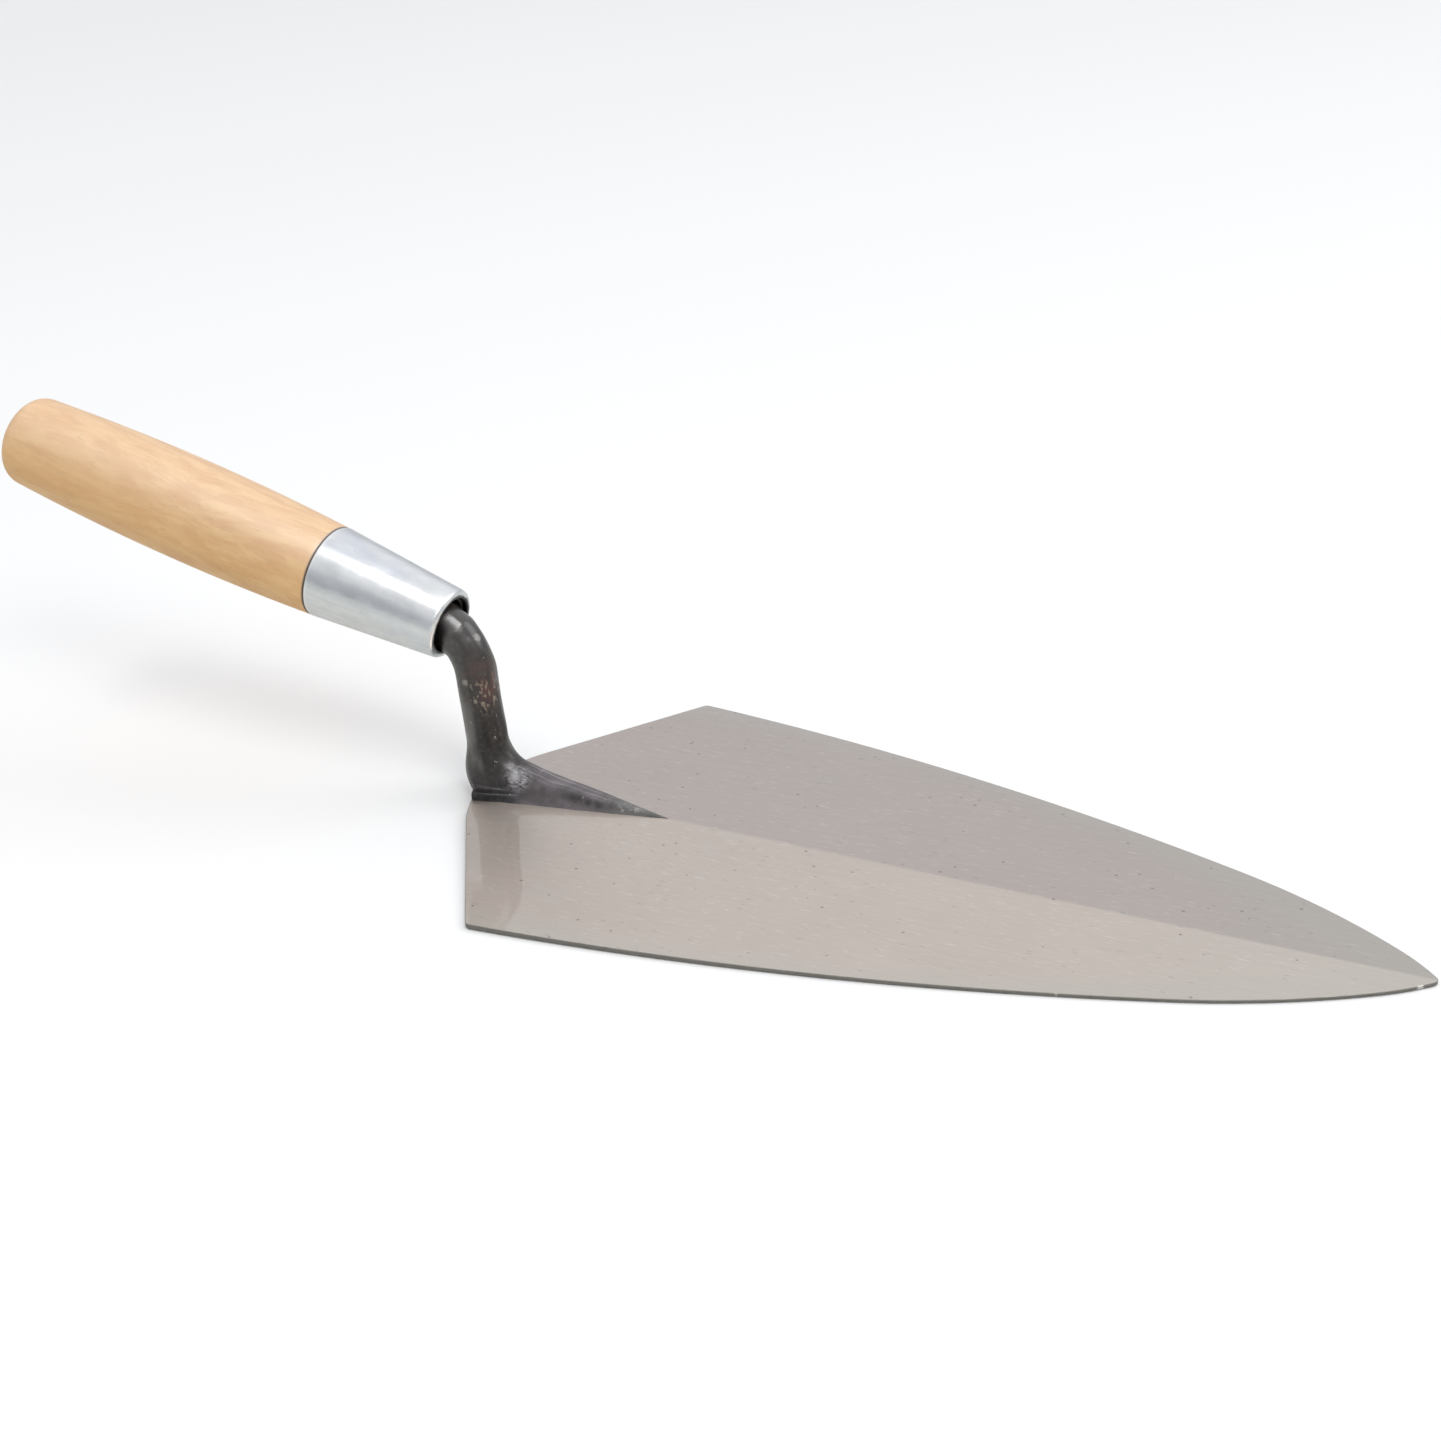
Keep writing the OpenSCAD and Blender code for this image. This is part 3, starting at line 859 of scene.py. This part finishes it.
def painted_foot_shade(s, base):
    """Painted shade: the foot's upright wall under the shank is darker."""
    low_down = s.fade_mm(s.axis("Z"), 4.8, 5.3, 1.0, 0.0)
    by_heel = s.fade_mm(s.from_heel(), 9.7, 21.7, 1.0, 0.0)
    return s.mix(s.product(low_down, by_heel, 0.9), base, FOOT_SHADE)


def rust_wear_and_highlights(s, base, grit, flecks, mottle):
    """Rust with scaly edges on the shank, dots near the root's tip, worn spots and patches that carry painted
    highlights, and flecks all over.
    """
    streaks = s.noise(s.place((640, 2000, 2000), (5, 0, 0)), detail=3.0)
    rust = s.product(s.near(*RUST_SPOT), s.fade(mottle, 0.38, 0.60), 0.9)
    base = s.mix(rust, base, RUST)
    scaly = s.product(s.near(*RUST_SCALE_SPOT), s.fade(flecks, 0.54, 0.63), 0.8)
    base = s.mix(scaly, base, RUST_SCALE)
    dots = s.product(s.near(*DOTS_SPOT), s.fade(flecks, 0.54, 0.64), 0.6)
    base = s.mix(dots, base, ROOT_DOT)
    # Worn patches, partly painted highlight.
    for spot in PATCH_AND_HIGHLIGHT_SPOTS:
        patch_and_highlight = s.fade(s.math("ADD", s.near(*spot), grit), 0.98, 1.30)
        base = s.mix(s.product(patch_and_highlight, 0.8), base, WORN_PATCH_AND_HIGHLIGHT)
    # A worn spot with a painted highlight and its bright core.
    worn_highlight = s.product(s.near(*WORN_HIGHLIGHT_SPOT), s.fade(streaks, 0.36, 0.70))
    highlight_core = s.product(s.near(*HIGHLIGHT_CORE_SPOT), 0.7)
    base = s.mix(s.math("MAXIMUM", worn_highlight, highlight_core), base, WORN_AND_HIGHLIGHT)
    return s.mix(s.fade(flecks, 0.70, 0.75, 0.0, 0.7), base, FORGED_FLECK)


def mouth_shade(s):
    """1 on the shank's -Y side where it goes into the ferrule, and 0 elsewhere."""
    inward = s.beyond((mouth[0], 0, mouth[1]), (handle_run[0], 0, handle_run[1]))
    right_side = s.fade_mm(s.axis("Y"), -6.2, -4.2, 1.0, 0.0)
    return s.product(s.fade_mm(inward, -3.0, -0.6), right_side)


def forged_steel():
    """Dark forged steel under clear lacquer, paler on the root, with rust, worn spots and pale flecks, and
    with painted shade and painted highlights.
    """
    s = Shader(bpy.data.materials.new("dark_forged_steel"))
    clouds = s.noise(s.place((130, 130, 100)), detail=4.0, roughness=0.6)
    grit = s.noise(s.place((900, 900, 900)), detail=5.0, roughness=0.6)
    flecks = s.noise(s.place((850, 850, 420)), detail=2.0)
    mottle = s.noise(s.place((300, 300, 240), (0, 4, 0)), detail=3.0, roughness=0.6)
    height = s.axis("Z")
    shade = mouth_shade(s)

    base = s.mix(s.fade(clouds, 0.3, 0.7), FORGED_DARK, FORGED_PALE)
    # Painted shade: darker low down on the forging.
    base = s.mix(s.fade_mm(height, 20, 46, 0.5, 0.0), base, FORGED_LOW_SHADE)
    base = root_tone(s, base, clouds)
    base = valley_shade_line(s, base, mottle)
    base = painted_shank_side_light(s, base, clouds)
    base = crest_highlight_lines(s, base, clouds)
    base = painted_foot_shade(s, base)
    base = s.mix(s.fade(grit, 0.45, 0.75, 0.0, 0.3), base, FORGED_GRIT)
    base = rust_wear_and_highlights(s, base, grit, flecks, mottle)
    base = s.mix(s.product(shade, 0.9), base, MOUTH_DARK)

    thin_low = s.fade_mm(height, 40, 52, 0.45, 1.0)
    thin_on_root = s.fade_mm(height, 12, 25, 0.75, 1.0)
    coat = s.product(thin_low, thin_on_root, s.math("SUBTRACT", 1.0, shade))
    return s.surface(
        Base_Color=base, Specular_IOR_Level=0.3, Roughness=s.fade(grit, 0.3, 0.7, 0.30, 0.48),
        Normal=s.bump(grit, 0.05, s.bump(clouds, 0.25)), Coat_Weight=coat, Coat_Roughness=0.22,
    )


PLATE_DARK = (0.715, 0.727, 0.735)
PLATE_PALE = (0.795, 0.806, 0.808)
PLATE_STREAK = (0.56, 0.58, 0.61)
PLATE_SMEAR = (0.60, 0.64, 0.73)
PLATE_SPECK = (0.35, 0.35, 0.34)
PLATE_EDGE_HIGHLIGHT = (0.95, 0.95, 0.94)
PLATE_HOLE_SHADE = (0.03, 0.03, 0.035)
RAGGED = 0.4


def plated_steel():
    """Bright plated ferrule: lengthwise streaks, haze, bluish smears, specks, a painted highlight on the wide
    edge and painted shade around the shank hole.
    """
    s = Shader(bpy.data.materials.new("bright_plate"))
    streaks = s.noise(s.around_axis(7.0, 12.0), detail=4.0, roughness=0.6)
    waves = s.noise(s.around_axis(2.2, 6.0), detail=2.0)
    haze = s.noise(s.place((260, 260, 160)), detail=4.0)
    smears = s.noise(s.place((90, 90, 50), (7, 0, 0)), detail=3.0)
    specks = s.noise(s.place((700, 700, 500)), detail=2.0)

    base = s.mix(s.fade(haze, 0.3, 0.7), PLATE_DARK, PLATE_PALE)
    base = s.mix(s.fade(streaks, 0.5, 0.72, 0.0, 0.3), base, PLATE_STREAK)
    base = s.mix(s.fade(smears, 0.5, 0.75, 0.0, 0.5), base, PLATE_SMEAR)
    base = s.mix(s.fade(specks, 0.70, 0.76, 0.0, 0.3), base, PLATE_SPECK)
    # Painted highlight on the rounded wide edge.
    edge_highlight = s.fade_mm(s.axis("Z"), FERRULE_LENGTH - 1.4, FERRULE_LENGTH - 0.6)
    base = s.mix(s.product(edge_highlight, 0.7), base, PLATE_EDGE_HIGHLIGHT)
    # Painted shade: a dark ring around the shank hole, where the gap into the ferrule is dark.
    ragged = s.math("ADD", s.radius(), s.fade(haze, 0.2, 0.8, -RAGGED * MM, RAGGED * MM))
    hole_shade = s.fade_mm(ragged, MOUTH_HOLE_RADIUS + 0.5, MOUTH_HOLE_RADIUS + 1.4, 0.96, 0.0)
    base = s.mix(hole_shade, base, PLATE_HOLE_SHADE)
    roughness = s.fade(haze, 0.3, 0.7, 0.27, 0.35)
    normal = s.bump(haze, 0.015, s.bump(streaks, 0.035, s.bump(waves, 0.12)))
    return s.surface(Base_Color=base, Metallic=1.0, Roughness=roughness, Normal=normal)


WOOD_DARK = (0.720, 0.390, 0.145)
WOOD_PALE = (0.840, 0.525, 0.228)
WOOD_BLOTCH = (0.78, 0.445, 0.175)
WOOD_BAND = (0.69, 0.375, 0.145)
WOOD_FIBRE = (0.62, 0.33, 0.13)
WOOD_PORE = (0.38, 0.19, 0.08)
WOOD_SEAM_SHADE = (0.06, 0.045, 0.04)
WOOD_MOUTH_SHADE = (0.015, 0.012, 0.010)
GRAIN_WANDER = 0.018


def wandering_place(s):
    """The piece's own coordinates, bent a little so that the grain wanders."""
    inputs = {"Vector": s.place((40, 40, 14)), "Scale": 1.0, "Detail": 2.0}
    drift = s.node("ShaderNodeTexNoise", inputs).outputs["Color"]
    drift = s.vector("SUBTRACT", drift, (0.5, 0.5, 0.5))
    drift = s.vector("MULTIPLY", drift, (GRAIN_WANDER, GRAIN_WANDER, GRAIN_WANDER))
    return s.vector("ADD", s.place(), drift)


def hardwood():
    """Pale clear-lacquered hardwood, grain along local Z, with a wavy blotched figure and fine dark pores,
    and painted shade at the ferrule's edge and inside the ferrule.
    """
    s = Shader(bpy.data.materials.new("pale_hardwood"))
    where = wandering_place(s)
    figure = s.noise(s.vector("MULTIPLY", where, (320, 320, 75)), detail=4.0, roughness=0.6)
    bands = s.noise(s.vector("MULTIPLY", where, (480, 480, 26)), detail=3.0)
    fibres = s.noise(s.vector("MULTIPLY", where, (1500, 1500, 60)), detail=4.0, roughness=0.6)
    pores = s.noise(s.vector("MULTIPLY", where, (1900, 1900, 210)), detail=2.0)
    blotches = s.noise(s.place((45, 45, 16), (0, 0, 3)), detail=2.0)

    base = s.mix(s.fade(figure, 0.34, 0.66), WOOD_DARK, WOOD_PALE)
    base = s.mix(s.fade(blotches, 0.35, 0.7, 0.0, 0.5), base, WOOD_BLOTCH)
    base = s.mix(s.fade(bands, 0.48, 0.72, 0.0, 0.4), base, WOOD_BAND)
    base = s.mix(s.fade(fibres, 0.5, 0.8, 0.0, 0.45), base, WOOD_FIBRE)
    base = s.mix(s.fade(pores, 0.66, 0.76, 0.0, 0.5), base, WOOD_PORE)
    # Painted shade in the seam between wood and ferrule.
    from_seam = s.math("ABSOLUTE", s.math("SUBTRACT", s.axis("Z"), FERRULE_LENGTH * MM))
    base = s.mix(s.fade_mm(from_seam, 0.1, 0.6, 0.9, 0.0), base, WOOD_SEAM_SHADE)
    # Painted shade on the wood inside the ferrule's mouth.
    base = s.mix(s.fade_mm(s.axis("Z"), 7, 9, 1.0, 0.0), base, WOOD_MOUTH_SHADE)
    roughness = s.fade(fibres, 0.3, 0.7, 0.46, 0.58)
    normal = s.bump(fibres, 0.015, s.bump(figure, 0.04))
    thin_below = s.fade(s.axis("Z", s.world_normal()), -0.2, 0.8, 0.2, 1.0)
    return s.surface(
        Base_Color=base, Roughness=roughness, Normal=normal,
        Coat_Weight=thin_below, Coat_Roughness=0.5, Coat_IOR=2.35,
    )


# ---------------------------------------------------------------- studio, metres and watts

FLOOR_HALF_SIZE = 5.0
FLOOR_DROP = 0.0002
FLOOR_AS_LIGHT = (0.69, 0.70, 0.67)
FLOOR_AS_SEEN = (0.93, 0.93, 0.92)
SKY_HORIZON = (0.48, 0.51, 0.56)
SKY_TOP = (0.99, 1.0, 1.03)
SKY_AS_SEEN = (0.95, 0.95, 0.95)
SKY_RIGHT = 0.74
SKY_LEFT = 1.02

CAMERA_PLACE = (0.23139, -0.51592, 0.33780)
CAMERA_AZIMUTH = 29.35
CAMERA_ELEVATION = 26.89
CAMERA_ROLL = -3.94
CAMERA_LENS_MM = 59.83
CAMERA_SENSOR_MM = 36.0


def make_floor():
    """A plain pale floor. It throws clearly less light on the object than its colour to the camera would."""
    bm = bmesh.new()
    bmesh.ops.create_grid(bm, x_segments=4, y_segments=4, size=FLOOR_HALF_SIZE)
    bmesh.ops.translate(bm, verts=bm.verts, vec=(0, 0, -FLOOR_DROP))
    s = Shader(bpy.data.materials.new("pale_floor"))
    seen = s.node("ShaderNodeLightPath").outputs["Is Camera Ray"]
    base = s.mix(seen, FLOOR_AS_LIGHT, FLOOR_AS_SEEN)
    floor = finished_object("floor", bm, [s.surface(Base_Color=base, Roughness=0.9)])


def make_sky():
    """White light all round that dims to a grey horizon and is brighter on the object's +Y side. To the
    camera it is one pale grey."""
    s = Shader(bpy.data.worlds.new("studio"))
    bpy.context.scene.world = s.owner
    where = s.node("ShaderNodeTexCoord").outputs["Generated"]
    seen = s.node("ShaderNodeLightPath").outputs["Is Camera Ray"]
    colour = s.mix(s.fade(s.axis("Z", where), 0.0, 0.6), SKY_HORIZON, SKY_TOP)
    colour = s.mix(seen, colour, SKY_AS_SEEN)
    strength = s.math("MAXIMUM", seen, s.fade(s.axis("Y", where), -1.0, 1.0, SKY_RIGHT, SKY_LEFT))
    background = s.node("ShaderNodeBackground", {"Color": colour, "Strength": strength})
    s.node("ShaderNodeOutputWorld", {"Surface": background.outputs[0]})


def make_softbox(name, place, size, power, on_matt=True):
    """A square area light aimed at the middle of the object. Without on_matt it only shows in the shine."""
    light = bpy.data.lights.new(name, "AREA")
    light.shape = "SQUARE"
    light.size = size
    light.energy = power
    softbox = bpy.data.objects.new(name, light)
    bpy.context.scene.collection.objects.link(softbox)
    softbox.location = place
    aim = (cad_box[0] + cad_box[1]) / 2 - Vector(place)
    softbox.rotation_mode = "QUATERNION"
    softbox.rotation_quaternion = aim.to_track_quat("-Z", "Y")
    softbox.visible_diffuse = on_matt


def make_camera():
    """The camera at the reference view's angle and place."""
    data = bpy.data.cameras.new("camera")
    data.sensor_width = CAMERA_SENSOR_MM
    data.lens = CAMERA_LENS_MM
    camera = bpy.data.objects.new("camera", data)
    bpy.context.scene.collection.objects.link(camera)
    turn = (
        Matrix.Rotation(math.radians(CAMERA_AZIMUTH), 4, "Z")
        @ Matrix.Rotation(math.radians(90 - CAMERA_ELEVATION), 4, "X")
        @ Matrix.Rotation(math.radians(CAMERA_ROLL), 4, "Z")
    )
    camera.matrix_world = Matrix.Translation(CAMERA_PLACE) @ turn
    bpy.context.scene.camera = camera


# ---------------------------------------------------------------- the trowel

for piece, node, slot in (
    (make_forging(), "forging", "forged_steel"),
    (make_ferrule(), "ferrule", "plated_steel"),
    (make_handle(), "handle", "hardwood"),
):
    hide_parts(node)
    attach(piece, "root")

make_floor()
make_sky()
make_softbox("key", place=(-0.3, -0.42, 1.5), size=0.4, power=2.3)
make_softbox("front", place=(0.8, -0.65, 1.25), size=0.6, power=5.0)
make_softbox("side", place=(1.4, 1.0, 1.1), size=1.0, power=7.0)
make_softbox("glint", place=(0.53, -0.32, 1.47), size=0.7, power=14.0, on_matt=False)
make_camera()
bpy.context.scene.view_settings.view_transform = "Standard"
